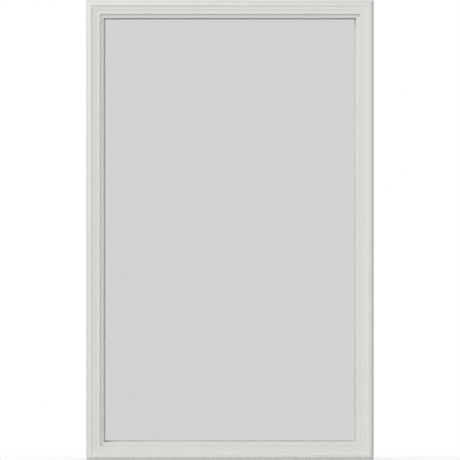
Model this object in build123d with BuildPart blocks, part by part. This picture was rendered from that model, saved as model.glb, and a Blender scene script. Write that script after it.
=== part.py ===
from build123d import *
import os

# Door vision panel: a sealed double-glazed unit clamped into a door by two moulded frame halves.
# Millimetres. X runs across the door, Z up, Y from the outside of the door to the inside. The origin is the
# centre of the opening in the plane of the door's outside skin, where the exterior half seats.

os.makedirs("parts", exist_ok=True)

# Overall sizes
frame_width = 604.0
frame_height = 965.0
door_thickness = 44.5
flange_overlap = 16.5  # how far the frame covers the door around the cut-out

# Face of the moulding, from its outer edge towards the glass
rim_height = 3.8
ovolo_radius = 9.0
ogee_width = 7.3
ogee_drop = 2.5
fillet_width = 2.1
fillet_drop = 0.4
bead_width = 2.1
bead_drop = 1.1
bead_sag = 0.4
flat_width = 8.1
arris_radius = 0.5
quirk_drop = 2.2
cove_width = 6.4
cove_drop = 2.7
cove_sag = 0.8
lip_width = 2.2
lip_crown = 0.4
reveal_width = 2.1
wall = 2.6
land_width = 8.0  # the flat foot of the reveal that holds the glass

# Ribs, posts and screws of the mouldings
rib_thickness = 1.8
rib_recess = 1.0  # ribs stop this far short of the door's skin
screws_per_stile = 4
screws_per_rail = 2
post_size = 8.8
post_gap = 2.5  # left between the two halves' posts
fin_step = 3.0  # a fin ends this far short of its post
fit = 0.5  # between a fin and the door's cut edge, or a post and the glass

screw_radius = 1.75
screw_length = 38.0
screw_head_radius = 2.9
screw_head_height = 2.2
tip_room = 1.0  # beyond the screw's point in the exterior post
thread_room = 0.05  # round the screw in the exterior post
shank_room = 0.25  # round the screw in the interior post
head_room = 0.2  # round and above the screw head
head_recess = 4.0  # from the flat of the face down to the screw head's seat
plug_room = 0.05
plug_rise = 0.3  # of the plug above the flat of the face

# Glass unit
pane_thickness = 3.2
air_space = 19.1
edge_seal_depth = 3.5
spacer_depth = 6.0
seal_thickness = 1.5
seal_width = 7.5
seal_squeeze = 0.6  # of the seal past the foot of the reveal

# Stations across the face, measured in from the outer edge
ogee_end = ovolo_radius + ogee_width
bead_start = ogee_end + fillet_width
flat_start = bead_start + bead_width
flat_end = flat_start + flat_width
lip_start = flat_end + cove_width
lip_end = lip_start + lip_width
sight_edge = lip_end + reveal_width
screw_line = (flat_start + flat_end) / 2
glass_edge = screw_line + post_size / 2 + fit
spacer_edge = glass_edge + edge_seal_depth
spacer_sight = spacer_edge + spacer_depth

# Heights above the door's skin
crest_height = rim_height + ovolo_radius
fillet_height = crest_height - ogee_drop
bead_height = fillet_height - fillet_drop
flat_height = bead_height - bead_drop
cove_height = flat_height - quirk_drop
lip_height = cove_height - cove_drop
glass_depth = (door_thickness - 2 * pane_thickness - air_space) / 2
land_depth = glass_depth - seal_thickness
post_depth = (door_thickness - post_gap) / 2
head_height = flat_height - head_recess
screw_point = door_thickness + head_height - screw_length  # depth of its point below the outside skin
head_bore = screw_head_radius + head_room
plug_radius = head_bore - plug_room

# A door skin is a plane that faces out of the door, so a height on it is measured along its normal
exterior_skin = Plane.XZ
interior_skin = Plane((0, door_thickness, 0), x_dir=(1, 0, 0), z_dir=(0, 1, 0))


def screw_stations(length, count):
    """Positions of evenly spaced screws along a side, measured from its middle."""
    return [length * ((i + 0.5) / count - 0.5) for i in range(count)]


def inner_size(inset):
    """Width and height of a rectangle set in from the frame's outer edge."""
    return frame_width - 2 * inset, frame_height - 2 * inset


def screw_points():
    """Where the screws are, in a door skin's own axes."""
    width, height = inner_size(screw_line)
    sides = (-1, 1)
    stiles = [(s * width / 2, y) for s in sides for y in screw_stations(frame_height, screws_per_stile)]
    rails = [(x, s * height / 2) for s in sides for x in screw_stations(frame_width, screws_per_rail)]
    return stiles + rails


def screw_sections(skin):
    """Planes across the frame at its screws, with x in from the outer edge and y up from the skin."""
    planes = []
    for side in (-1, 1):
        for y in screw_stations(frame_height, screws_per_stile):
            origin = skin.from_local_coords(Vector(side * frame_width / 2, y, 0))
            planes.append(Plane(origin, x_dir=skin.x_dir * -side, z_dir=skin.y_dir * side))
        for x in screw_stations(frame_width, screws_per_rail):
            origin = skin.from_local_coords(Vector(x, side * frame_height / 2, 0))
            planes.append(Plane(origin, x_dir=skin.y_dir * -side, z_dir=skin.x_dir * -side))
    return planes


def face_line():
    """The face from the foot of the rim, over the crest and down to the foot of the reveal."""
    Line((0, 0), (0, rim_height))
    CenterArc((ovolo_radius, rim_height), ovolo_radius, 90, 90)
    ogee_middle = ((ovolo_radius + ogee_end) / 2, (crest_height + fillet_height) / 2)
    TangentArc((ovolo_radius, crest_height), ogee_middle, tangent=(1, 0))
    TangentArc((ogee_end, fillet_height), ogee_middle, tangent=(-1, 0))
    Line((ogee_end, fillet_height), (bead_start, bead_height))
    SagittaArc((bead_start, bead_height), (flat_start, flat_height), bead_sag)
    arris_start, arris_end = (flat_end - arris_radius, flat_height), (flat_end, flat_height - arris_radius)
    Line((flat_start, flat_height), arris_start)
    TangentArc(arris_start, arris_end, tangent=(1, 0))
    Line(arris_end, (flat_end, cove_height))
    SagittaArc((flat_end, cove_height), (lip_start, lip_height), -cove_sag)
    SagittaArc((lip_start, lip_height), (lip_end, lip_height), lip_crown)
    Line((lip_end, lip_height), (sight_edge, -land_depth))


def back_line(depth, foot):
    """The face's underside at a depth below it, from the rim at height foot to the point returned."""
    Line((depth, foot), (depth, rim_height))
    CenterArc((ovolo_radius, rim_height), ovolo_radius - depth, 90, 90)
    back_end = (lip_end - depth, lip_height - depth)
    Polyline(
        (ovolo_radius, crest_height - depth),
        (ogee_end, fillet_height - depth),
        (bead_start, bead_height - depth),
        (flat_start, flat_height - depth),
        (flat_end - depth, flat_height - depth),
        (flat_end, cove_height - depth),
        back_end,
    )
    return back_end


def moulding(skin):
    """One half of the frame without its screw holes: the hollow ring, its ribs, fins and screw posts."""
    with BuildPart() as half:
        with BuildLine(skin) as outer_edge:
            x, y = frame_width / 2, frame_height / 2
            Polyline((0, -y), (x, -y), (x, y), (-x, y), (-x, -y), (0, -y))
        start = skin.from_local_coords(Vector(0, -frame_height / 2, 0))
        with BuildSketch(Plane(start, x_dir=skin.y_dir, z_dir=skin.x_dir)):
            with BuildLine():
                face_line()
                land_start = sight_edge - land_width
                Polyline(
                    (sight_edge, -land_depth),
                    (land_start, -land_depth),
                    (land_start, wall - land_depth),
                    (sight_edge - wall, wall - land_depth),
                    back_line(wall, 0),
                )
                Line((0, 0), (wall, 0))
            make_face()
        sweep(path=outer_edge.line, transition=Transition.RIGHT)

        with BuildSketch(*screw_sections(skin)):
            with BuildLine():
                rib_end = back_line(wall / 2, rib_recess)
                Polyline(rib_end, (rib_end[0], rib_recess), (wall / 2, rib_recess))
            make_face()
        extrude(amount=rib_thickness / 2, both=True)

        with BuildSketch(*screw_sections(skin)):
            with BuildLine():
                fin_start, fin_end = flange_overlap + fit, glass_edge - fit
                fin_foot, fin_root = fin_step - post_depth, rib_recess + wall / 2
                Polyline(
                    (fin_start, fin_foot),
                    (fin_end, fin_foot),
                    (fin_end, fin_root),
                    (fin_start, fin_root),
                    close=True,
                )
            make_face()
        extrude(amount=rib_thickness / 2, both=True)

        with BuildSketch(skin.offset(-post_depth)):
            with Locations(*screw_points()):
                Rectangle(post_size, post_size)
        extrude(amount=post_depth + flat_height - wall / 2)
    return half.part


exterior_moulding = moulding(exterior_skin)
with BuildPart() as exterior_frame:
    add(exterior_moulding)
    with BuildSketch(exterior_skin.offset(-post_depth)):
        with Locations(*screw_points()):
            Circle(screw_radius + thread_room)
    extrude(amount=post_depth - screw_point + tip_room, mode=Mode.SUBTRACT)
exterior_frame.part.label = "exterior_frame"
export_step(exterior_frame.part, "parts/exterior_frame.step")

interior_moulding = moulding(interior_skin)
with BuildPart() as interior_frame:
    add(interior_moulding)
    with BuildSketch(interior_skin.offset(-post_depth)):
        with Locations(*screw_points()):
            Circle(screw_radius + shank_room)
    extrude(amount=post_depth + flat_height, mode=Mode.SUBTRACT)
    with BuildSketch(interior_skin.offset(head_height)):
        with Locations(*screw_points()):
            Circle(head_bore)
    extrude(amount=head_recess, mode=Mode.SUBTRACT)
interior_frame.part.label = "interior_frame"
export_step(interior_frame.part, "parts/interior_frame.step")

# The sealed glass unit, from the outside inwards
exterior_pane_back = exterior_skin.offset(-glass_depth - pane_thickness)
cavity_back = exterior_pane_back.offset(-air_space)
interior_pane_back = cavity_back.offset(-pane_thickness)

with BuildPart() as exterior_pane:
    with BuildSketch(exterior_pane_back):
        Rectangle(*inner_size(glass_edge))
    extrude(amount=pane_thickness)
exterior_pane.part.label = "exterior_pane"
export_step(exterior_pane.part, "parts/exterior_pane.step")

with BuildPart() as interior_pane:
    with BuildSketch(interior_pane_back):
        Rectangle(*inner_size(glass_edge))
    extrude(amount=pane_thickness)
interior_pane.part.label = "interior_pane"
export_step(interior_pane.part, "parts/interior_pane.step")

with BuildPart() as edge_sealant:
    with BuildSketch(cavity_back):
        Rectangle(*inner_size(glass_edge))
        Rectangle(*inner_size(spacer_edge), mode=Mode.SUBTRACT)
    extrude(amount=air_space)
edge_sealant.part.label = "edge_sealant"
export_step(edge_sealant.part, "parts/edge_sealant.step")

bar_width, bar_height = inner_size(spacer_sight)
key_x = (bar_width + spacer_depth) / 2
key_z = (bar_height + spacer_depth) / 2
spacer_parts = {
    "spacer_bar_left": (-key_x, 0, spacer_depth, bar_height),
    "spacer_bar_right": (key_x, 0, spacer_depth, bar_height),
    "spacer_bar_top": (0, key_z, bar_width, spacer_depth),
    "spacer_bar_bottom": (0, -key_z, bar_width, spacer_depth),
    "spacer_key_top_left": (-key_x, key_z, spacer_depth, spacer_depth),
    "spacer_key_top_right": (key_x, key_z, spacer_depth, spacer_depth),
    "spacer_key_bottom_left": (-key_x, -key_z, spacer_depth, spacer_depth),
    "spacer_key_bottom_right": (key_x, -key_z, spacer_depth, spacer_depth),
}
for name, (x, z, width, height) in spacer_parts.items():
    with BuildPart() as spacer_part:
        with BuildSketch(cavity_back):
            with Locations((x, z)):
                Rectangle(width, height)
        extrude(amount=air_space)
    spacer_part.part.label = name
    export_step(spacer_part.part, f"parts/{name}.step")

with BuildPart() as exterior_glazing_seal:
    with BuildSketch(exterior_skin.offset(-glass_depth)):
        Rectangle(*inner_size(sight_edge - seal_width))
        Rectangle(*inner_size(sight_edge + seal_squeeze), mode=Mode.SUBTRACT)
    extrude(amount=seal_thickness)
exterior_glazing_seal.part.label = "exterior_glazing_seal"
export_step(exterior_glazing_seal.part, "parts/exterior_glazing_seal.step")

with BuildPart() as interior_glazing_seal:
    with BuildSketch(interior_skin.offset(-glass_depth)):
        Rectangle(*inner_size(sight_edge - seal_width))
        Rectangle(*inner_size(sight_edge + seal_squeeze), mode=Mode.SUBTRACT)
    extrude(amount=seal_thickness)
interior_glazing_seal.part.label = "interior_glazing_seal"
export_step(interior_glazing_seal.part, "parts/interior_glazing_seal.step")

# Round plugs in the interior face, one over each screw
plug_foot = head_height + screw_head_height + head_room
for number, point in enumerate(screw_points(), start=1):
    with BuildPart() as screw_plug:
        with BuildSketch(interior_skin.offset(plug_foot)):
            with Locations(point):
                Circle(plug_radius)
        extrude(amount=flat_height + plug_rise - plug_foot)
    screw_plug.part.label = f"screw_plug_{number:02d}"
    export_step(screw_plug.part, f"parts/screw_plug_{number:02d}.step")
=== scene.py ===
# %% [markdown]
# This lesson dresses a door vision panel: a sealed double-glazed unit that two moulded frame halves clamp
# into a door, screwed together through the cut-out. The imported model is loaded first, and every piece made
# here goes in its place, so one frame of metres serves the whole file. Sizes are written in millimetres, as
# a maker would give them, and turned into metres when a mesh is made.

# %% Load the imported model
import math

import bmesh
import bpy
from mathutils import Matrix, Vector


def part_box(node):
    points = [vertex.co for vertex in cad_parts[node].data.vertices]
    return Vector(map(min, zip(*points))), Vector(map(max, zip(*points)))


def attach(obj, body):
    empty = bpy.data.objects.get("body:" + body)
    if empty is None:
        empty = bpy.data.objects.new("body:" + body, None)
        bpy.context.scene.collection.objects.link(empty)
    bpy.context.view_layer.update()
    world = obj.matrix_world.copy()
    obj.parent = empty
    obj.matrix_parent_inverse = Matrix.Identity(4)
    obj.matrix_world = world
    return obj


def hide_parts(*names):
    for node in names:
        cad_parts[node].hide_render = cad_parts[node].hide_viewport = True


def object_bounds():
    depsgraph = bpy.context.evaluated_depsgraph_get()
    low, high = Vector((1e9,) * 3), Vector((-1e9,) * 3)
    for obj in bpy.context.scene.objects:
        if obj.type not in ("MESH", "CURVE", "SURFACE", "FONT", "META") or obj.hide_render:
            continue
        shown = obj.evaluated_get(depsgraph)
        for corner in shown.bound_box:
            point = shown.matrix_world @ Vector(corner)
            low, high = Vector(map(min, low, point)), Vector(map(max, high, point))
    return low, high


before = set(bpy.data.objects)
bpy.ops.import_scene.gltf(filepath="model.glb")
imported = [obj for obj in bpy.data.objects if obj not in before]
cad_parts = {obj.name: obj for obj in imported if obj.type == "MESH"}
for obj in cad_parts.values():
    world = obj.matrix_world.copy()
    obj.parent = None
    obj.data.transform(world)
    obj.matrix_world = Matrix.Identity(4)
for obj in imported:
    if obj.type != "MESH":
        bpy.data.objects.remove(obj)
cad_low, cad_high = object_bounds()
bpy.ops.object.select_all(action="DESELECT")
MM = 0.001
BODY = "root"
FRAME_WIDTH, FRAME_HEIGHT, DOOR_THICKNESS = 604.0, 965.0, 44.5
print(len(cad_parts), "nodes")
print("CAD box", [round(v, 4) for v in cad_low], [round(v, 4) for v in cad_high])

# %% [markdown]
# The photograph looks straight at the panel from far off, so the reveals on all four sides show as narrow
# lines. A long lens gives that, where a short lens nearby would show the inside of the frame. From twenty
# metres the top and bottom rails still show a little more of their reveals than the stiles do. The lens is
# worked out from the share of the picture that the frame's width takes up.

# %% Camera
PHOTO_SIDE, FRAME_PIXELS = 460, 287.47
CAMERA_DISTANCE, SENSOR, FARTHEST = 20.0, 36.0, 100.0
view_width = FRAME_WIDTH * MM * PHOTO_SIDE / FRAME_PIXELS
bpy.ops.object.camera_add(location=(0, -CAMERA_DISTANCE, 0), rotation=(math.pi / 2, 0, 0))
camera = bpy.context.object
camera.name = "photo_camera"
camera.data.sensor_width = SENSOR
camera.data.lens = SENSOR * CAMERA_DISTANCE / view_width
camera.data.clip_end = FARTHEST
bpy.context.scene.camera = camera
print("lens", round(camera.data.lens, 1), "mm for a view", round(view_width, 4), "m wide")

# %% [markdown]
# Materials are written as sums. A small class holds one socket of a node tree, and Python's plus, minus and
# times on it add Math nodes, so a line of code reads like the formula it stands for. Every other node comes
# from one method, which sets the node's own choices first and then its sockets.


# %% Shader sums
class Wire:
    """One socket of a node tree, to be used in sums."""

    def __init__(self, socket):
        self.socket = socket

    @classmethod
    def node(cls, tree, kind, choices=None, inputs=None, output=0):
        """Adds a node, sets its choices, then gives its sockets numbers, colours or other wires."""
        made = tree.nodes.new(kind)
        for name, value in (choices or {}).items():
            setattr(made, name, value)
        for name, value in (inputs or {}).items():
            if isinstance(value, Wire):
                tree.links.new(value.socket, made.inputs[name])
            else:
                made.inputs[name].default_value = value
        return cls(made.outputs[output]) if made.outputs else None

    def sum(self, operation, first, second):
        choices = {"operation": operation}
        return Wire.node(self.socket.id_data, "ShaderNodeMath", choices, {0: first, 1: second})

    def __add__(self, other):
        return self.sum("ADD", self, other)

    def __radd__(self, other):
        return self.sum("ADD", other, self)

    def __sub__(self, other):
        return self.sum("SUBTRACT", self, other)

    def __rsub__(self, other):
        return self.sum("SUBTRACT", other, self)

    def __mul__(self, other):
        return self.sum("MULTIPLY", self, other)

    def __rmul__(self, other):
        return self.sum("MULTIPLY", other, self)

    def __abs__(self):
        return self.sum("ABSOLUTE", self, 0.0)

    def least(self, other):
        return self.sum("MINIMUM", self, other)

    def most(self, other):
        return self.sum("MAXIMUM", self, other)


print("shader sums ready")

# %% [markdown]
# The finishes below share a few patterns: a mix of two colours, a fade from one value to another, a speckle,
# a speckle drawn out along one axis, and a bump. Each could be built anew in every material. As functions
# they keep the materials down to what is special about them.


# %% Shader patterns
def mixed(tree, share, first, second):
    """A colour between two others."""
    inputs = {0: share, 6: first, 7: second}
    return Wire.node(tree, "ShaderNodeMix", {"data_type": "RGBA"}, inputs, output=2)


def fade(tree, value, start, end, low=0.0, high=1.0):
    """Low where a value is at its start, high at its end, and even between."""
    inputs = {"Value": value, "From Min": start, "From Max": end, "To Min": low, "To Max": high}
    return Wire.node(tree, "ShaderNodeMapRange", {"clamp": True}, inputs)


def speckle(tree, place, scale, detail=3.0):
    """Noise from 0 to 1, with features of about one over scale in metres."""
    return Wire.node(tree, "ShaderNodeTexNoise", {}, {"Vector": place, "Scale": scale, "Detail": detail})


def drawn_out(tree, place, scale):
    """Coordinates scaled by axis, so that a pattern on them is drawn out along one."""
    return Wire.node(tree, "ShaderNodeMapping", {"vector_type": "POINT"}, {"Vector": place, "Scale": scale})


def axes(tree, place):
    """The x, y and z of some coordinates."""
    split = Wire.node(tree, "ShaderNodeSeparateXYZ", {}, {0: place})
    return [Wire(part) for part in split.socket.node.outputs]


def embossed(tree, height, depth, strength):
    """A normal that follows a height from 0 to 1 over a depth in metres."""
    inputs = {"Height": height, "Distance": depth, "Strength": strength}
    return Wire.node(tree, "ShaderNodeBump", {}, inputs)


def new_finish(name):
    """An empty material, its node tree and the piece's own coordinates in metres."""
    finish = bpy.data.materials.new(name)
    finish.use_nodes = True
    finish.node_tree.nodes.clear()
    return finish, finish.node_tree, Wire.node(finish.node_tree, "ShaderNodeTexCoord", output=3)


def coated(tree, sockets):
    """Puts a Principled shader with these sockets on the material's surface."""
    shader = Wire.node(tree, "ShaderNodeBsdfPrincipled", {}, sockets)
    Wire.node(tree, "ShaderNodeOutputMaterial", {}, {"Surface": shader})


print("shader patterns ready")

# %% [markdown]
# The studio is white all round, as for a catalogue picture. The camera, and what is seen through glass, meet
# a white world, while the light that the world gives differs by direction, as it does with white boards set
# up round a subject. Most of it comes from boards in a ring round the camera. The middle of that ring is
# dark, so the glass has nothing bright to mirror. A Light Path node tells what is seen from what gives light.

# %% World
BOARDS = {"right": 0.16, "behind": 0.75, "above": 0.06}
BOARDS_ROUND_CAMERA = 6.15
RAYS = "Is Camera Ray", "Is Transmission Ray", "Diffuse Depth"
world = bpy.data.worlds.new("white_studio")
world.use_nodes = True
world.node_tree.nodes.clear()
bpy.context.scene.world = world
sky = world.node_tree
across, along, up = axes(sky, Wire.node(sky, "ShaderNodeTexCoord"))
facing = {"right": across, "behind": along, "above": up}
ahead = (-1.0 * along).most(0.0)
given = BOARDS_ROUND_CAMERA * ahead * ahead * ahead * (1.0 - ahead * ahead)
for side, strength in BOARDS.items():
    given = given + facing[side].most(0.0) * strength
light_path = Wire.node(sky, "ShaderNodeLightPath").socket.node.outputs
seen, through, bounces = (Wire(light_path[ray]) for ray in RAYS)
seen_through = through * (1.0 - bounces).most(0.0)
shown = seen.most(seen_through) + given * (1.0 - seen.most(through))
background = Wire.node(sky, "ShaderNodeBackground", {}, {"Color": (1, 1, 1, 1), "Strength": shown})
Wire.node(sky, "ShaderNodeOutputWorld", {}, {"Surface": background})
bpy.context.scene.view_settings.view_transform = "Standard"
print("boards:", *BOARDS)

# %% [markdown]
# A small lamp at the upper left does the modelling: slopes that face it are bright, the others are grey, and
# the steps of the moulding throw short shadows. A broader lamp behind the panel does the same for its back.
# Both are square area lamps that look at the middle of the panel, as soft boxes in a studio do.

# %% Lamps
LAMPS = {
    "side_lamp": (Vector((-3.73, -1.82, 2.80)), 0.6, 107.0),
    "rear_lamp": (Vector((-2.4, 3.9, 2.3)), 1.6, 66.0),
}
for name, (spot, side, power) in LAMPS.items():
    towards_panel = spot.to_track_quat("Z", "Y").to_euler()
    bpy.ops.object.light_add(type="AREA", location=spot, rotation=towards_panel)
    lamp = bpy.context.object
    lamp.name = name
    lamp.data.shape, lamp.data.size, lamp.data.energy = "SQUARE", side, power
print("lamps:", *LAMPS)

# %% [markdown]
# The panel stands on a pale floor. In a white studio the floor runs into the background with no line between
# them, so this one is a thin wash of paint that fades out with distance, and only the soft shade close to
# the panel is left on it.

# %% Floor
FLOOR_SIDE, FLOOR_COVER, FLOOR_FADE = 4.0, 0.28, 0.6
FLOOR_PALE, FLOOR_DUSTY = (0.90, 0.90, 0.90, 1), (0.86, 0.86, 0.86, 1)
bpy.ops.object.select_all(action="DESELECT")
bpy.ops.mesh.primitive_plane_add(size=FLOOR_SIDE, location=(0, DOOR_THICKNESS / 2 * MM, cad_low.z))
floor = bpy.context.object
floor.name = "pale_floor"
floor_paint, tree, place = new_finish("pale_floor")
x, y, _ = axes(tree, place)
beside = (abs(x) - FRAME_WIDTH / 2 * MM).most(0.0)
reach = Wire.node(tree, "ShaderNodeMath", {"operation": "SQRT"}, {0: beside * beside + y * y})
near = fade(tree, reach, 0.0, FLOOR_FADE, 1.0, 0.0)
dust = speckle(tree, place, 3.0)
coated(tree, {
    "Base Color": mixed(tree, dust, FLOOR_PALE, FLOOR_DUSTY),
    "Roughness": 0.7 + 0.1 * dust,
    "Alpha": near * near * FLOOR_COVER,
})
floor.data.materials.append(floor_paint)
print("floor at", round(cad_low.z, 4), "m")

# %% [markdown]
# Modelling by hand is a matter of selecting and then pulling. These helpers open a piece for editing, select
# what lies in a certain place, and pull or scale what is selected.


# %% Selecting and pulling
def deselect():
    bpy.ops.object.select_all(action="DESELECT")


def only(piece):
    """Selects one piece and nothing else."""
    deselect()
    piece.select_set(True)
    bpy.context.view_layer.objects.active = piece


def open_mesh(piece):
    only(piece)
    bpy.ops.object.mode_set(mode="EDIT")


def close_mesh():
    bpy.ops.object.mode_set(mode="OBJECT")


def pick(piece, kind, test):
    """In edit mode, selects only the VERT, EDGE or FACE elements that pass a test."""
    bpy.ops.mesh.select_all(action="DESELECT")
    bpy.ops.mesh.select_mode(type=kind)
    mesh = bmesh.from_edit_mesh(piece.data)
    elements = {"VERT": mesh.verts, "EDGE": mesh.edges, "FACE": mesh.faces}[kind]
    found = [element for element in elements if test(element)]
    for element in found:
        element.select_set(True)
    mesh.select_flush_mode()
    bmesh.update_edit_mesh(piece.data)
    return len(found)


def pulled(x=0.0, y=0.0, z=0.0):
    """Extrudes what is selected by a distance in millimetres."""
    bpy.ops.mesh.extrude_region_move(TRANSFORM_OT_translate={"value": (x * MM, y * MM, z * MM)})


def sized(x=1.0, y=1.0, z=1.0):
    """Scales what is selected about the origin."""
    bpy.ops.transform.resize(value=(x, y, z), center_override=(0, 0, 0))


def tidy_mesh():
    """In edit mode, merges points that meet and turns every face outwards."""
    bpy.ops.mesh.select_all(action="SELECT")
    bpy.ops.mesh.remove_doubles(threshold=0.001 * MM)
    bpy.ops.mesh.normals_make_consistent(inside=False)


print("selecting and pulling ready")

# %% [markdown]
# The next helpers start a piece from a primitive, copy, join and cut pieces, and hand a finished piece over:
# its finish, the body that carries it and the solid that it stands for.


# %% Copying, joining and handing over
def started(name):
    """The primitive that was just added, named, with its place and size put into its mesh."""
    piece = bpy.context.object
    piece.name = piece.data.name = name
    bpy.ops.object.transform_apply(location=True, rotation=True, scale=True)
    return piece


def moved_copy(piece, name, matrix):
    """A copy with its own mesh, moved in the mesh."""
    made = piece.copy()
    made.data = piece.data.copy()
    made.name = made.data.name = name
    made.data.transform(matrix)
    bpy.context.collection.objects.link(made)
    return made


def joined(pieces, name):
    only(pieces[0])
    for piece in pieces:
        piece.select_set(True)
    bpy.ops.object.join()
    pieces[0].name = pieces[0].data.name = name
    return pieces[0]


def combined(piece, other, operation):
    """Joins another shape to a piece or cuts it out, and removes that shape."""
    only(piece)
    bpy.ops.object.modifier_add(type="BOOLEAN")
    step = piece.modifiers[-1]
    step.operation, step.solver, step.object = operation, "EXACT", other
    bpy.ops.object.modifier_apply(modifier=step.name)
    bpy.data.objects.remove(other)


def open_edges(piece):
    """How many edges do not have two faces: none on a closed shape."""
    mesh = bmesh.new()
    mesh.from_mesh(piece.data)
    count = sum(not e.is_manifold for e in mesh.edges)
    mesh.free()
    return count


def handed_over(piece, finish, slot, *nodes, smooth=35):
    """Shades a piece, paints it, and says what carries it and which solids it stands for."""
    only(piece)
    bpy.ops.object.shade_smooth_by_angle(angle=math.radians(smooth))
    piece.data.materials.clear()
    piece.data.materials.append(finish)
    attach(piece, BODY)
    if nodes:
        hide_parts(*nodes)
    print(piece.name, len(piece.data.polygons), "faces,", open_edges(piece), "open edges")


print("copying, joining and handing over ready")

# %% [markdown]
# The frame's section is the heart of the piece: a round-over, a hollow ogee, a fillet, a bead, a flat, a
# quirk with a cove, a small rounded lip and the sloping reveal, all in a wall of even thickness with a
# hollow back. Each curve is a bow between two points, told by its rise, and the same points serve the face
# and its underside.


# %% Section of the moulding
def bow(start, end, rise, steps):
    """Points on an arc after its start, up to its end. A rise above 0 is on the left of the way."""
    (x0, y0), (x1, y1) = start, end
    chord = math.hypot(x1 - x0, y1 - y0)
    half_turn = 2 * math.atan(2 * rise / chord)
    points = []
    for i in range(1, steps + 1):
        t = 2 * i / steps - 1
        radius = chord / 2 / math.sin(half_turn)
        forward = radius * math.sin(t * half_turn) + chord / 2
        side = radius * (math.cos(t * half_turn) - math.cos(half_turn))
        points.append((x0 + (forward * (x1 - x0) - side * (y1 - y0)) / chord,
                       y0 + (forward * (y1 - y0) + side * (x1 - x0)) / chord))
    return points


def below(point, depth):
    """The point at the same inset, this much lower."""
    return point[0], point[1] - depth


OVOLO, RIM, CREST, WALL = 9.0, 3.8, 12.8, 2.6
QUARTER_RISE = 1 - math.cos(math.pi / 4)
OGEE_MIDDLE, OGEE_END, OGEE_RISE = (12.65, 11.55), (16.3, 10.3), 0.321
FILLET_END, BEAD_RISE = (18.4, 9.9), 0.4
FLAT_START, FLAT_END, FLAT_HEIGHT, FLAT_ARRIS = 20.5, 28.6, 8.8, 0.5
QUIRK_FOOT, COVE_RISE = (FLAT_END, 6.6), 0.8
LIP_START, LIP_END, LIP_HEIGHT, LIP_RISE = 35.0, 36.7, 3.9, 0.4
SIGHT_EDGE, LAND_START, LAND_DEPTH = 39.3, 31.3, 8.0

ovolo_end, bead_end = (OVOLO, CREST), (FLAT_START, FLAT_HEIGHT)
flat_edge, quirk_top = (FLAT_END - FLAT_ARRIS, FLAT_HEIGHT), (FLAT_END, FLAT_HEIGHT - FLAT_ARRIS)
lip_start, lip_end = (LIP_START, LIP_HEIGHT), (LIP_END, LIP_HEIGHT)
section = [(0.0, 0.0), (0.0, RIM)]
section += bow((0, RIM), ovolo_end, OVOLO * QUARTER_RISE, 14)
section += bow(ovolo_end, OGEE_MIDDLE, OGEE_RISE, 6) + bow(OGEE_MIDDLE, OGEE_END, -OGEE_RISE, 6)
section += [FILLET_END] + bow(FILLET_END, bead_end, BEAD_RISE, 6)
section += [flat_edge] + bow(flat_edge, quirk_top, FLAT_ARRIS * QUARTER_RISE, 4)
section += [QUIRK_FOOT] + bow(QUIRK_FOOT, lip_start, -COVE_RISE, 8)
section += bow(lip_start, lip_end, LIP_RISE, 6)
section += [(SIGHT_EDGE, -LAND_DEPTH), (LAND_START, -LAND_DEPTH), (LAND_START, WALL - LAND_DEPTH)]
section += [(SIGHT_EDGE - WALL, WALL - LAND_DEPTH), (LIP_END - WALL, LIP_HEIGHT - WALL)]
section += [below(QUIRK_FOOT, WALL), (FLAT_END - WALL, FLAT_HEIGHT - WALL)]
section += [below(point, WALL) for point in (bead_end, FILLET_END, OGEE_END, ovolo_end)]
section += bow(below(ovolo_end, WALL), (WALL, RIM), -(OVOLO - WALL) * QUARTER_RISE, 8) + [(WALL, 0.0)]
print(len(section), "points round the section")

# %% [markdown]
# A picture framer would cut the moulding and join it at the mitres. In Blender the same ring is drawn in one
# go: a rectangle of four edges is pulled from point to point of the section, and scaled at each so that
# every side comes in by the same amount. The corners then mitre by themselves. The ring's own arrises are
# rounded a little afterwards, because plastic never leaves a mould with a knife edge.


# %% Ring helper
TOUCH = 1e-6
ARRIS_ANGLE, ARRIS_ROUND = 38, 0.25


def ring(name, line):
    """A mitred ring from a closed line of (inset, y) points in millimetres."""
    inset, y = line[0]
    deselect()
    bpy.ops.mesh.primitive_plane_add(size=1, location=(0, y * MM, 0), rotation=(math.pi / 2, 0, 0))
    bpy.context.object.scale = ((FRAME_WIDTH - 2 * inset) * MM, (FRAME_HEIGHT - 2 * inset) * MM, 1)
    made = started(name)
    open_mesh(made)
    bpy.ops.mesh.delete(type="ONLY_FACE")
    bpy.ops.mesh.select_all(action="SELECT")
    for (old, old_y), (new, new_y) in zip(line, line[1:] + line[:1]):
        pulled(y=new_y - old_y)
        sized(x=(FRAME_WIDTH - 2 * new) / (FRAME_WIDTH - 2 * old),
              z=(FRAME_HEIGHT - 2 * new) / (FRAME_HEIGHT - 2 * old))
    tidy_mesh()
    close_mesh()
    return made


def long_arris(edge):
    """True for a sharp edge that runs along a side of a ring, and not for a mitre."""
    start, end = (v.co for v in edge.verts)
    level = abs(start.y - end.y) < TOUCH
    straight = min(abs(start.x - end.x), abs(start.z - end.z)) < TOUCH
    return level and straight and edge.calc_face_angle(0) > math.radians(ARRIS_ANGLE)


half = ring("frame_half", [(inset, -height) for inset, height in section])
open_mesh(half)
rounded = pick(half, "EDGE", long_arris)
bpy.ops.mesh.bevel(offset=ARRIS_ROUND * MM, segments=3, affect="EDGES", clamp_overlap=True)
close_mesh()
print(rounded, "arrises rounded,", open_edges(half), "open edges")

# %% [markdown]
# Twelve screws hold the halves together: four down each stile and two along each rail. What is needed at a
# screw is shaped once on the left stile, and a matrix for each place then carries a copy there. A turn about
# the middle of the panel takes it to the other stile, and a quarter turn to a rail.

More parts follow.
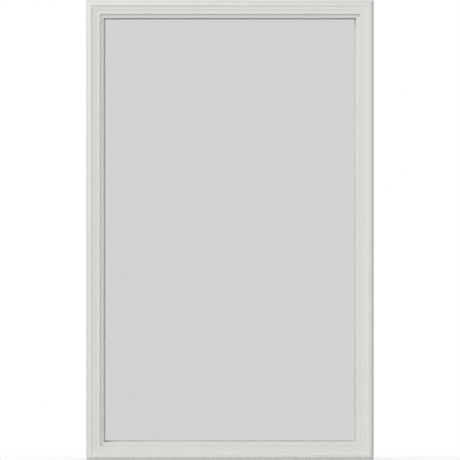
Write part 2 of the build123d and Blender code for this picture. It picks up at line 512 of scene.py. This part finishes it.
# %% Places of the screws
STILE_STATIONS, RAIL_STATIONS = (-361.875, -120.625, 120.625, 361.875), (-151.0, 151.0)
screw_places = [Matrix.Translation((0, 0, station * MM)) for station in STILE_STATIONS]
screw_places += [place @ Matrix.Rotation(math.pi, 4, "Y") for place in screw_places]
rail_lift = (FRAME_HEIGHT - FRAME_WIDTH) / 2 * MM
for turn in (-1, 1):
    for station in RAIL_STATIONS:
        on_rail = Matrix.Translation((station * MM, 0, turn * rail_lift))
        screw_places.append(on_rail @ Matrix.Rotation(turn * math.pi / 2, 4, "Y"))
print(len(screw_places), "places for screws")

# %% [markdown]
# Behind each screw the hollow is crossed by a rib with a fin below it that finds the edge of the cut-out. Its
# outline runs along the middle of the wall, so it sinks into the plastic all round. A disc with as many
# points as the outline is laid out on it and pulled to the thickness of the plate.

# %% Rib and fin
PLATE, PLATE_FOOT, FIN_START, FIN_END, FIN_DEPTH = 1.8, 1.0, 17.0, 28.8, 18.0
middle = WALL / 2
plate_line = [(middle, PLATE_FOOT), (middle, RIM)]
plate_line += bow((middle, RIM), below(ovolo_end, middle), (OVOLO - middle) * QUARTER_RISE, 6)
plate_line += [below(point, middle) for point in (OGEE_END, FILLET_END, bead_end)]
plate_line += [(FLAT_END - middle, FLAT_HEIGHT - middle), below(QUIRK_FOOT, middle)]
plate_line += [(LIP_END - middle, LIP_HEIGHT - middle), (LIP_END - middle, PLATE_FOOT)]
plate_line += [(FIN_END, PLATE_FOOT), (FIN_END, -FIN_DEPTH)]
plate_line += [(FIN_START, -FIN_DEPTH), (FIN_START, PLATE_FOOT)]
deselect()
bpy.ops.mesh.primitive_circle_add(vertices=len(plate_line), radius=MM, fill_type="NGON")
plate = started("rib_and_fin")
open_mesh(plate)
outline = bmesh.from_edit_mesh(plate.data)
for corner, (inset, height) in zip(outline.verts, plate_line):
    corner.co = Vector((inset - FRAME_WIDTH / 2, -height, -PLATE / 2)) * MM
bmesh.update_edit_mesh(plate.data)
bpy.ops.mesh.select_all(action="SELECT")
pulled(z=PLATE)
tidy_mesh()
close_mesh()
print("rib and fin:", open_edges(plate), "open edges")

# %% [markdown]
# A square post takes each screw. It is a block with the arrises of its free end softened. Ribs and posts are
# then copied to the twelve places, and a Boolean melts them into the ring, so that no faces are left inside
# the wall. Joining them loosely would look the same from outside but leave hidden faces.

# %% Posts, and all of it melted into the ring
SCREW_LINE, POST_SIDE, POST_DEPTH, POST_SOFTENED = 24.55, 8.8, 21.0, 0.6
post_top = FLAT_HEIGHT - middle
post_x = (SCREW_LINE - FRAME_WIDTH / 2) * MM
deselect()
bpy.ops.mesh.primitive_cube_add(size=MM, location=(post_x, (POST_DEPTH - post_top) / 2 * MM, 0))
bpy.context.object.scale = (POST_SIDE, POST_DEPTH + post_top, POST_SIDE)
post = started("screw_post")
open_mesh(post)
pick(post, "EDGE", lambda e: all(abs(v.co.y - POST_DEPTH * MM) < TOUCH for v in e.verts))
bpy.ops.mesh.bevel(offset=POST_SOFTENED * MM, segments=2, affect="EDGES")
close_mesh()
for shape in (plate, post):
    copies = [moved_copy(shape, f"{shape.name}_{i}", m) for i, m in enumerate(screw_places)]
    combined(half, joined(copies, f"all_{shape.name}"), "UNION")
    bpy.data.objects.remove(shape)
print("half with its ribs and posts:", len(half.data.polygons), "faces,", open_edges(half), "open edges")

# %% [markdown]
# Both halves come from one mould shape. The interior half is the same ring turned round, with its screw
# holes bored right through and widened for the heads, while the exterior half only has pilot holes in its
# posts. The cutters are cylinders set in the same twelve places, and they run past the plastic where a hole
# is open.

# %% Screw holes
PILOT_RADIUS, PILOT_END = 1.8, -10.3
SHANK_HOLE, HEAD_HOLE, HEAD_SEAT, RUN_PAST = 2.0, 3.1, 4.8, 1.0
AS_MADE = Matrix.Identity(4)
TURNED = Matrix.Translation((0, DOOR_THICKNESS * MM, 0)) @ Matrix.Rotation(math.pi, 4, "Z")


def bored(piece, radius, bottom, top, turn):
    """Cuts a hole at every screw, between two heights above the skin, and turned to the piece's side."""
    deselect()
    bpy.ops.mesh.primitive_cylinder_add(vertices=40, radius=radius * MM, depth=(top - bottom) * MM,
                                        location=(post_x, -(bottom + top) / 2 * MM, 0),
                                        rotation=(math.pi / 2, 0, 0))
    drill = started("drill")
    drills = [moved_copy(drill, f"drill_{i}", turn @ m) for i, m in enumerate(screw_places)]
    bpy.data.objects.remove(drill)
    combined(piece, joined(drills, "drills"), "DIFFERENCE")


exterior_moulding = moved_copy(half, "exterior_moulding", AS_MADE)
interior_moulding = moved_copy(half, "interior_moulding", TURNED)
bpy.data.objects.remove(half)
bored(exterior_moulding, PILOT_RADIUS, -POST_DEPTH - RUN_PAST, PILOT_END, AS_MADE)
bored(interior_moulding, SHANK_HOLE, -POST_DEPTH - RUN_PAST, FLAT_HEIGHT + RUN_PAST, TURNED)
bored(interior_moulding, HEAD_HOLE, HEAD_SEAT, FLAT_HEIGHT + RUN_PAST, TURNED)
print("exterior", open_edges(exterior_moulding), "interior", open_edges(interior_moulding), "open edges")

# %% [markdown]
# The frame is moulded in off-white plastic with a satin skin. Close to, such a skin has a very fine grain
# from the mould and slow clouds of tone where the melt cooled unevenly. Along each quirk the colour is also
# darkened: painted shade where the step shades the groove, with a little dust in it. The distance in from the
# outer edge is worked out from the piece's own coordinates, so this painted line follows the moulding round
# its four sides.


# %% Moulded plastic
# Colour, place and width of the painted shade line along each quirk, with a little dust in it
QUIRK_DUST_AND_SHADE, QUIRK_SHADE_AND_DUST_LINE, QUIRK_SHADE_AND_DUST_WIDTH = (0.55, 0.53, 0.50, 1), FLAT_END + 0.6, 1.0
OFF_WHITE, OFF_WHITE_CLOUD = (0.80, 0.787, 0.757, 1), (0.755, 0.740, 0.708, 1)


def moulded_plastic(name, light, dark):
    finish, tree, place = new_finish(name)
    x, _, z = axes(tree, place)
    inset = (FRAME_WIDTH / 2 * MM - abs(x)).least(FRAME_HEIGHT / 2 * MM - abs(z))
    # Mask for the painted shade in the quirk, with a little dust: 1 on the line, 0 a millimetre either side
    quirk = 1.0 - fade(tree, abs(inset - QUIRK_SHADE_AND_DUST_LINE * MM), 0.0, QUIRK_SHADE_AND_DUST_WIDTH * MM)
    clouds = speckle(tree, place, 16.0)
    grain = speckle(tree, place, 1500.0, 2.0)
    tone = mixed(tree, clouds * 0.6 + grain * 0.4, light, dark)
    coated(tree, {
        # Base colour goes half way to the quirk colour on the line: painted shade, with a little dust
        "Base Color": mixed(tree, quirk * 0.5, tone, QUIRK_DUST_AND_SHADE),
        "Roughness": 0.40 + 0.10 * clouds + 0.08 * grain,
        "Normal": embossed(tree, grain, 0.03 * MM, 0.35),
    })
    return finish


frame_plastic = moulded_plastic("off_white_plastic", OFF_WHITE, OFF_WHITE_CLOUD)
handed_over(exterior_moulding, frame_plastic, "frame_plastic", "exterior_frame")
handed_over(interior_moulding, frame_plastic, "frame_plastic", "interior_frame")

# %% [markdown]
# Each pane is float glass with its edges ground to a small chamfer. It could be a thin sheet with a
# see-through shader, but a pane with its true thickness bends and mirrors as glass does. The cut edge is
# rough and green, and the face has only a breath of tint. Lamps have to reach what lies behind the glass, so
# a shadow ray meets a plain tinted film in its place.

# %% Glass panes
PANE_WIDTH, PANE_HEIGHT, PANE, PANE_CHAMFER = 545.1, 906.1, 3.2, 0.5
PANE_FRONTS = {"exterior": 9.5, "interior": 31.8}
CLEAR_TINT, CLEAR_SHADE = (0.819, 0.826, 0.824, 1), (0.815, 0.822, 0.820, 1)
EDGE_GREEN, FILM = (0.30, 0.47, 0.40, 1), (0.65, 0.66, 0.655, 1)
GLASS_BENDING = 1.52


def float_glass():
    finish, tree, place = new_finish("clear_glass")
    x, _, z = axes(tree, place)
    rim = (PANE_WIDTH / 2 * MM - abs(x)).least(PANE_HEIGHT / 2 * MM - abs(z))
    ground = fade(tree, rim, 0.4 * MM, 0.9 * MM, 1.0, 0.0)
    breath = speckle(tree, drawn_out(tree, place, (1.0, 1.0, 0.35)), 3.5, 1.0)
    glass = Wire.node(tree, "ShaderNodeBsdfPrincipled", {}, {
        "Base Color": mixed(tree, ground, mixed(tree, breath, CLEAR_TINT, CLEAR_SHADE), EDGE_GREEN),
        "Roughness": ground * 0.45,
        "IOR": GLASS_BENDING,
        "Transmission Weight": 1.0,
    })
    film = Wire.node(tree, "ShaderNodeBsdfTransparent", {}, {"Color": FILM})
    shadow_ray = Wire.node(tree, "ShaderNodeLightPath", output="Is Shadow Ray")
    both = Wire.node(tree, "ShaderNodeMixShader", {}, {0: shadow_ray, 1: glass, 2: film})
    Wire.node(tree, "ShaderNodeOutputMaterial", {}, {"Surface": both})
    return finish


clear_glass = float_glass()
for side, front in PANE_FRONTS.items():
    deselect()
    bpy.ops.mesh.primitive_cube_add(size=MM, location=(0, (front + PANE / 2) * MM, 0))
    bpy.context.object.scale = (PANE_WIDTH, PANE, PANE_HEIGHT)
    pane = started(f"{side}_glass")
    open_mesh(pane)
    pick(pane, "EDGE", lambda e: True)
    bpy.ops.mesh.bevel(offset=PANE_CHAMFER * MM, segments=1, affect="EDGES")
    close_mesh()
    handed_over(pane, clear_glass, "glass", f"{side}_pane", smooth=10)

# %% [markdown]
# The panes are kept apart by a roll-formed aluminium spacer. Its face towards the cavity has a shallow
# trough with a row of slots, through which the drying beads inside can breathe, and its back is drawn in so
# that the sealant gets a hold. The slotted face is drawn first, as a grid five cells wide, and its rim is
# then pulled back in steps to make the walls.

# %% Shape of a spacer bar
BAR_FACE, BAR_ROWS, TROUGH_DEPTH = 18.1, 5, 0.3
SLOT_ROWS_WITHIN, TROUGH_ROWS_WITHIN = 2.0, 6.0
SLOT_NARROWED, SLOT_RIM, SLOT_DEPTH = 0.2, 0.1, 0.5
BAR_WALLS = ((0.2, 9.4), (0.4, 9.55), (3.0, 9.55), (2.4, 7.0))


def spacer_bar(name, length, slots):
    """A bar that stands along z with its slotted face at x = 0, looking towards +x."""
    cells = 2 * slots + 1

    def is_slot(face):
        centre = face.calc_center_median() / MM
        number = round((centre.z + length / 2) / length * cells - 0.5)
        return abs(centre.y) < SLOT_ROWS_WITHIN and number % 2 == 1

    deselect()
    bpy.ops.mesh.primitive_grid_add(x_subdivisions=cells, y_subdivisions=BAR_ROWS, size=MM,
                                    rotation=(0, math.pi / 2, 0))
    bpy.context.object.scale = (length, BAR_FACE, 1)
    bar = started(name)
    open_mesh(bar)
    pick(bar, "VERT", lambda v: abs(v.co.y) < SLOT_ROWS_WITHIN * MM)
    sized(y=SLOT_NARROWED)
    pick(bar, "VERT", lambda v: abs(v.co.y) < TROUGH_ROWS_WITHIN * MM)
    bpy.ops.transform.translate(value=(-TROUGH_DEPTH * MM, 0, 0))
    pick(bar, "FACE", is_slot)
    bpy.ops.mesh.inset(use_individual=True, thickness=SLOT_RIM * MM, depth=-SLOT_DEPTH * MM)
    pick(bar, "EDGE", lambda e: e.is_boundary)
    reached = BAR_FACE / 2
    for back, half_width in BAR_WALLS:
        pulled(x=-back)
        sized(y=half_width / reached)
        reached = half_width
    bpy.ops.mesh.edge_face_add()
    tidy_mesh()
    close_mesh()
    return bar


UPRIGHT, LEVEL, UPRIGHT_SLOTS, LEVEL_SLOTS = 887.1, 526.1, 110, 65
upright_bar = spacer_bar("upright_bar", UPRIGHT, UPRIGHT_SLOTS)
level_bar = spacer_bar("level_bar", LEVEL, LEVEL_SLOTS)
print("bars with", UPRIGHT_SLOTS, "and", LEVEL_SLOTS, "slots")

# %% [markdown]
# Rolled aluminium has fine streaks along the bar and a cloudy bloom over them. The streaks are a speckle
# drawn out along the bar, so upright and level bars each have their own metal. The level bar is the same
# shape laid down, and half a turn about the middle of the panel takes a bar to the opposite side.


# %% Spacer bars in their places
def satin_aluminium(name, streaks):
    finish, tree, place = new_finish(name)
    rolled = speckle(tree, drawn_out(tree, place, streaks), 900.0, 4.0)
    bloom = speckle(tree, place, 60.0)
    coated(tree, {
        "Base Color": mixed(tree, 0.6 * rolled + 0.4 * bloom, (0.78, 0.79, 0.80, 1), (0.58, 0.59, 0.61, 1)),
        "Metallic": 1.0,
        "Roughness": 0.40 + 0.16 * rolled + 0.08 * bloom,
        "Normal": embossed(tree, rolled, 0.01 * MM, 0.3),
    })
    return finish


BAR_DEPTH, AIR_SPACE, BAR_INSET, AIR_START = 6.0, 19.1, 38.95, 12.7
air_middle = AIR_START + AIR_SPACE / 2
upright_metal = satin_aluminium("satin_aluminium_upright", (1.0, 1.0, 0.02))
level_metal = satin_aluminium("satin_aluminium_level", (0.02, 1.0, 1.0))
stand = Matrix.Translation(((BAR_INSET - FRAME_WIDTH / 2) * MM, air_middle * MM, 0))
lie = Matrix.Translation((0, air_middle * MM, (BAR_INSET - FRAME_HEIGHT / 2) * MM))
lie = lie @ Matrix.Rotation(-math.pi / 2, 4, "Y")
over = Matrix.Rotation(math.pi, 4, "Y")
for bar, metal, name, matrix in (
    (upright_bar, upright_metal, "left", stand),
    (upright_bar, upright_metal, "right", over @ stand),
    (level_bar, level_metal, "bottom", lie),
    (level_bar, level_metal, "top", over @ lie),
):
    handed_over(moved_copy(bar, f"{name}_spacer", matrix), metal, "spacer", f"spacer_bar_{name}")
bpy.data.objects.remove(upright_bar)
bpy.data.objects.remove(level_bar)

# %% [markdown]
# Grey nylon keys join the bars at the corners. Only their edges show, but they are made as moulded pieces
# are: a block with soft arrises and a pocket on each of its two outer faces, where the mould leaves out what
# is not needed. One key is shaped and turned to each corner.

# %% Corner keys
KEY_WALL, POCKET_DRAFT, POCKET_DEPTH, KEY_ARRIS = 1.2, 0.3, 1.4, 0.3
KEY_CORNERS = {"bottom_left": (-1, -1), "top_left": (-1, 1), "top_right": (1, 1), "bottom_right": (1, -1)}


def outer_arris(edge):
    """True for the four edges of the block that run from pane to pane."""
    side = BAR_DEPTH / 2 * MM
    return all(abs(abs(reach) - side) < TOUCH for v in edge.verts for reach in (v.co.x, v.co.z))


def grey_nylon():
    finish, tree, place = new_finish("grey_nylon")
    flow = speckle(tree, place, 240.0)
    grain = speckle(tree, place, 2200.0, 2.0)
    coated(tree, {
        "Base Color": mixed(tree, flow, (0.20, 0.205, 0.21, 1), (0.15, 0.155, 0.16, 1)),
        "Roughness": 0.5 + 0.15 * grain,
        "Normal": embossed(tree, grain, 0.03 * MM, 0.4),
    })
    return finish


deselect()
bpy.ops.mesh.primitive_cube_add(size=MM)
bpy.context.object.scale = (BAR_DEPTH, AIR_SPACE, BAR_DEPTH)
key = started("corner_key")
open_mesh(key)
pick(key, "FACE", lambda f: f.normal.x < -0.9 or f.normal.z < -0.9)
bpy.ops.mesh.inset(use_individual=True, thickness=KEY_WALL * MM)
bpy.ops.mesh.inset(use_individual=True, thickness=POCKET_DRAFT * MM, depth=-POCKET_DEPTH * MM)
pick(key, "EDGE", outer_arris)
bpy.ops.mesh.bevel(offset=KEY_ARRIS * MM, segments=2, affect="EDGES")
close_mesh()

nylon = grey_nylon()
key_x = (FRAME_WIDTH / 2 - BAR_INSET + BAR_DEPTH / 2) * MM
key_z = (FRAME_HEIGHT / 2 - BAR_INSET + BAR_DEPTH / 2) * MM
for turn, (name, (x, z)) in enumerate(KEY_CORNERS.items()):
    corner = Matrix.Translation((x * key_x, air_middle * MM, z * key_z))
    turned_key = moved_copy(key, f"{name}_key", corner @ Matrix.Rotation(turn * math.pi / 2, 4, "Y"))
    handed_over(turned_key, nylon, "spacer_key", f"spacer_key_{name}")
bpy.data.objects.remove(key)

# %% [markdown]
# Dark sealant fills the edge of the unit between the panes. It is run in with a gun and struck off with a
# knife, which leaves its face a little hollow and not quite even. The same ring helper draws it, and a slow
# noise in the bump gives the marks of the knife.

# %% Edge sealant
EDGE_START, EDGE_END, EDGE_HOLLOW = 29.45, 32.95, 0.7
air_end = AIR_START + AIR_SPACE
sealant_line = [(EDGE_END, air_end), (EDGE_END, AIR_START), (EDGE_START, AIR_START)]
sealant_line += bow((EDGE_START, AIR_START), (EDGE_START, air_end), -EDGE_HOLLOW, 10)
sealant = ring("edge_of_unit", sealant_line)


def struck_sealant():
    finish, tree, place = new_finish("struck_sealant")
    knife = speckle(tree, place, 90.0, 4.0)
    pores = speckle(tree, place, 1400.0, 2.0)
    coated(tree, {
        "Base Color": mixed(tree, knife, (0.028, 0.028, 0.030, 1), (0.016, 0.016, 0.018, 1)),
        "Roughness": 0.48 + 0.25 * knife,
        "Normal": embossed(tree, knife + 0.15 * pores, 0.5 * MM, 0.6),
    })
    return finish


handed_over(sealant, struck_sealant(), "edge_sealant", "edge_sealant")

# %% [markdown]
# A strip of soft grey seal lies between each frame half and the glass. The frame squeezes it, so its inner
# edge bulges out until it is nearly flush with the foot of the reveal. It is a ring like the frame, with a
# bow for its inner edge.

# %% Glazing seals
SEAL_START, SEAL_END, SEAL_BULGE = 31.8, 39.05, 0.3
SEAL_GAPS = {
    "exterior": (LAND_DEPTH, PANE_FRONTS["exterior"]),
    "interior": (PANE_FRONTS["interior"] + PANE, DOOR_THICKNESS - LAND_DEPTH),
}


def soft_seal():
    finish, tree, place = new_finish("soft_grey_seal")
    pores = speckle(tree, place, 1800.0, 2.0)
    skin = speckle(tree, place, 45.0)
    coated(tree, {
        "Base Color": mixed(tree, 0.5 * pores + 0.5 * skin, (0.36, 0.36, 0.35, 1), (0.27, 0.27, 0.265, 1)),
        "Roughness": 0.62 + 0.2 * pores,
        "Normal": embossed(tree, pores, 0.04 * MM, 0.5),
    })
    return finish


grey_seal = soft_seal()
for side, (start, end) in SEAL_GAPS.items():
    line = [(SEAL_START, end), (SEAL_START, start), (SEAL_END, start)]
    line += bow((SEAL_END, start), (SEAL_END, end), -SEAL_BULGE, 6)
    handed_over(ring(f"{side}_seal", line), grey_seal, "glazing_seal", f"{side}_glazing_seal")

# %% [markdown]
# The screws that draw the halves together are pan-head screws: a shank with a thread wound round it, a
# point, and a cross recess in the head. The shank and head are pulled from one disc, which is drawn in for
# the point on one side and widened and domed for the head on the other.

# %% Shank and head of the screw
SCREW_LENGTH, POINT_LENGTH, POINT_SIZE = 38.0, 3.0, 0.08
SHANK_RADIUS, HEAD_RADIUS = 1.25, 2.9
HEAD_STEPS = ((0.0, HEAD_RADIUS / SHANK_RADIUS), (1.2, 1.0), (0.6, 0.86), (0.4, 0.6))
seat_y = DOOR_THICKNESS + HEAD_SEAT
deselect()
bpy.ops.mesh.primitive_circle_add(vertices=24, radius=SHANK_RADIUS * MM, fill_type="NGON",
                                  rotation=(math.pi / 2, 0, 0), location=(0, seat_y * MM, 0))
screw = started("screw")
open_mesh(screw)
bpy.ops.mesh.select_all(action="SELECT")
pulled(y=-SCREW_LENGTH + POINT_LENGTH)
pulled(y=-POINT_LENGTH)
sized(x=POINT_SIZE, z=POINT_SIZE)
pick(screw, "FACE", lambda f: abs(f.calc_center_median().y - seat_y * MM) < TOUCH)
for rise, size in HEAD_STEPS:
    pulled(y=rise)
    sized(x=size, z=size)
tidy_mesh()
close_mesh()
print("screw before its thread:", open_edges(screw), "open edges")

# %% [markdown]
# The thread is a small triangle carried round the shank by the Screw modifier. Its two open ends are filled,
# so that it is a closed shape and can be melted into the shank with nothing left inside.

# %% Thread of the screw
THREAD_START, THREAD_PITCH, THREAD_TURNS, THREAD_STEPS = 4.0, 1.25, 24, 14
THREAD_LINE = ((1.15, 0.36), (1.73, 0.0), (1.15, -0.36))
deselect()
bpy.ops.mesh.primitive_circle_add(vertices=len(THREAD_LINE), radius=MM, fill_type="NOTHING")
thread = started("thread")
open_mesh(thread)
corners = bmesh.from_edit_mesh(thread.data)
for corner, (x, y) in zip(corners.verts, THREAD_LINE):
    corner.co = Vector((x, seat_y - THREAD_START + y, 0)) * MM
bmesh.update_edit_mesh(thread.data)
close_mesh()
bpy.ops.object.modifier_add(type="SCREW")
winding = thread.modifiers[-1]
winding.axis, winding.iterations, winding.screw_offset = "Y", THREAD_TURNS, -THREAD_PITCH * MM
winding.steps = winding.render_steps = THREAD_STEPS
bpy.ops.object.modifier_apply(modifier=winding.name)
open_mesh(thread)
tidy_mesh()
bpy.ops.mesh.fill_holes(sides=len(THREAD_LINE))
bpy.ops.mesh.normals_make_consistent(inside=False)
close_mesh()
print("thread:", open_edges(thread), "open edges")

# %% [markdown]
# Two crossed bars cut the recess. A Boolean can leave slivers where two curved faces meet at a slant, so the
# slivers are dissolved at the end, before the screw is copied.

# %% Recess, and the screw in one piece
RECESS_LIFT, RECESS_BAR, SLIVER = 2.2, (3.0, 2.2, 0.7), 0.01
cutters = []
for turn in (0, 1):
    deselect()
    bpy.ops.mesh.primitive_cube_add(size=MM, location=(0, (seat_y + RECESS_LIFT) * MM, 0),
                                    rotation=(0, turn * math.pi / 2, 0))
    bpy.context.object.scale = RECESS_BAR
    cutters.append(started(f"recess_{turn}"))
combined(screw, thread, "UNION")
for cutter in cutters:
    combined(screw, cutter, "DIFFERENCE")
open_mesh(screw)
bpy.ops.mesh.select_all(action="SELECT")
bpy.ops.mesh.dissolve_degenerate(threshold=SLIVER * MM)
close_mesh()
print("screw:", len(screw.data.polygons), "faces,", open_edges(screw), "open edges")

# %% [markdown]
# Zinc plating is a thin bright metal with a cloudy bloom, duller and warmer where the clouds are thick. The
# finished screw is copied to the twelve posts, each copy with a mesh of its own.


# %% Zinc plate, and the twelve screws
def zinc_plate():
    finish, tree, place = new_finish("zinc_plate")
    bloom = speckle(tree, place, 420.0)
    coated(tree, {
        "Base Color": mixed(tree, bloom, (0.64, 0.65, 0.66, 1), (0.52, 0.51, 0.47, 1)),
        "Metallic": 1.0,
        "Roughness": 0.24 + 0.22 * bloom,
        "Normal": embossed(tree, bloom, 0.01 * MM, 0.3),
    })
    return finish


zinc = zinc_plate()
screw_spots = [TURNED @ m @ Vector((post_x, 0, 0)) for m in screw_places]
for number, spot in enumerate(screw_spots, start=1):
    in_post = Matrix.Translation((spot.x, 0, spot.z))
    handed_over(moved_copy(screw, f"screw_{number:02d}", in_post), zinc, "screw")
bpy.data.objects.remove(screw)

# %% [markdown]
# On the inside of the door a round plug hides each screw. It is a turned disc with a soft edge and a slight
# dome, in the frame's plastic but from a slightly paler batch, and it stands a hair above the flat.

# %% Screw plugs
PLUG_FOOT, PLUG_TOP, PLUG_RADIUS = 7.2, 9.1, 3.05
PLUG_DOME = ((0.12, 0.985), (0.09, 0.95), (0.06, 0.88), (0.05, 0.6), (0.03, 0.2))
PLUG_DOME_RISE = 0.35
PLUG_WHITE, PLUG_WHITE_CLOUD = (0.81, 0.797, 0.767, 1), (0.765, 0.750, 0.718, 1)
deselect()
bpy.ops.mesh.primitive_circle_add(vertices=40, radius=PLUG_RADIUS * MM, fill_type="NGON",
                                  rotation=(math.pi / 2, 0, 0),
                                  location=(0, (DOOR_THICKNESS + PLUG_FOOT) * MM, 0))
plug = started("plug")
open_mesh(plug)
bpy.ops.mesh.select_all(action="SELECT")
pulled(y=PLUG_TOP - PLUG_FOOT - PLUG_DOME_RISE)
for rise, size in PLUG_DOME:
    pulled(y=rise)
    sized(x=size, z=size)
tidy_mesh()
close_mesh()
plug_plastic = moulded_plastic("plug_plastic", PLUG_WHITE, PLUG_WHITE_CLOUD)
plug_nodes = [node for node in sorted(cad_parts) if node.startswith("screw_plug")]
for number, node in enumerate(plug_nodes, start=1):
    low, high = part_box(node)
    spot = (low + high) / 2
    in_hole = Matrix.Translation((spot.x, 0, spot.z))
    handed_over(moved_copy(plug, f"plug_{number:02d}", in_hole), plug_plastic, "plug", node)
bpy.data.objects.remove(plug)
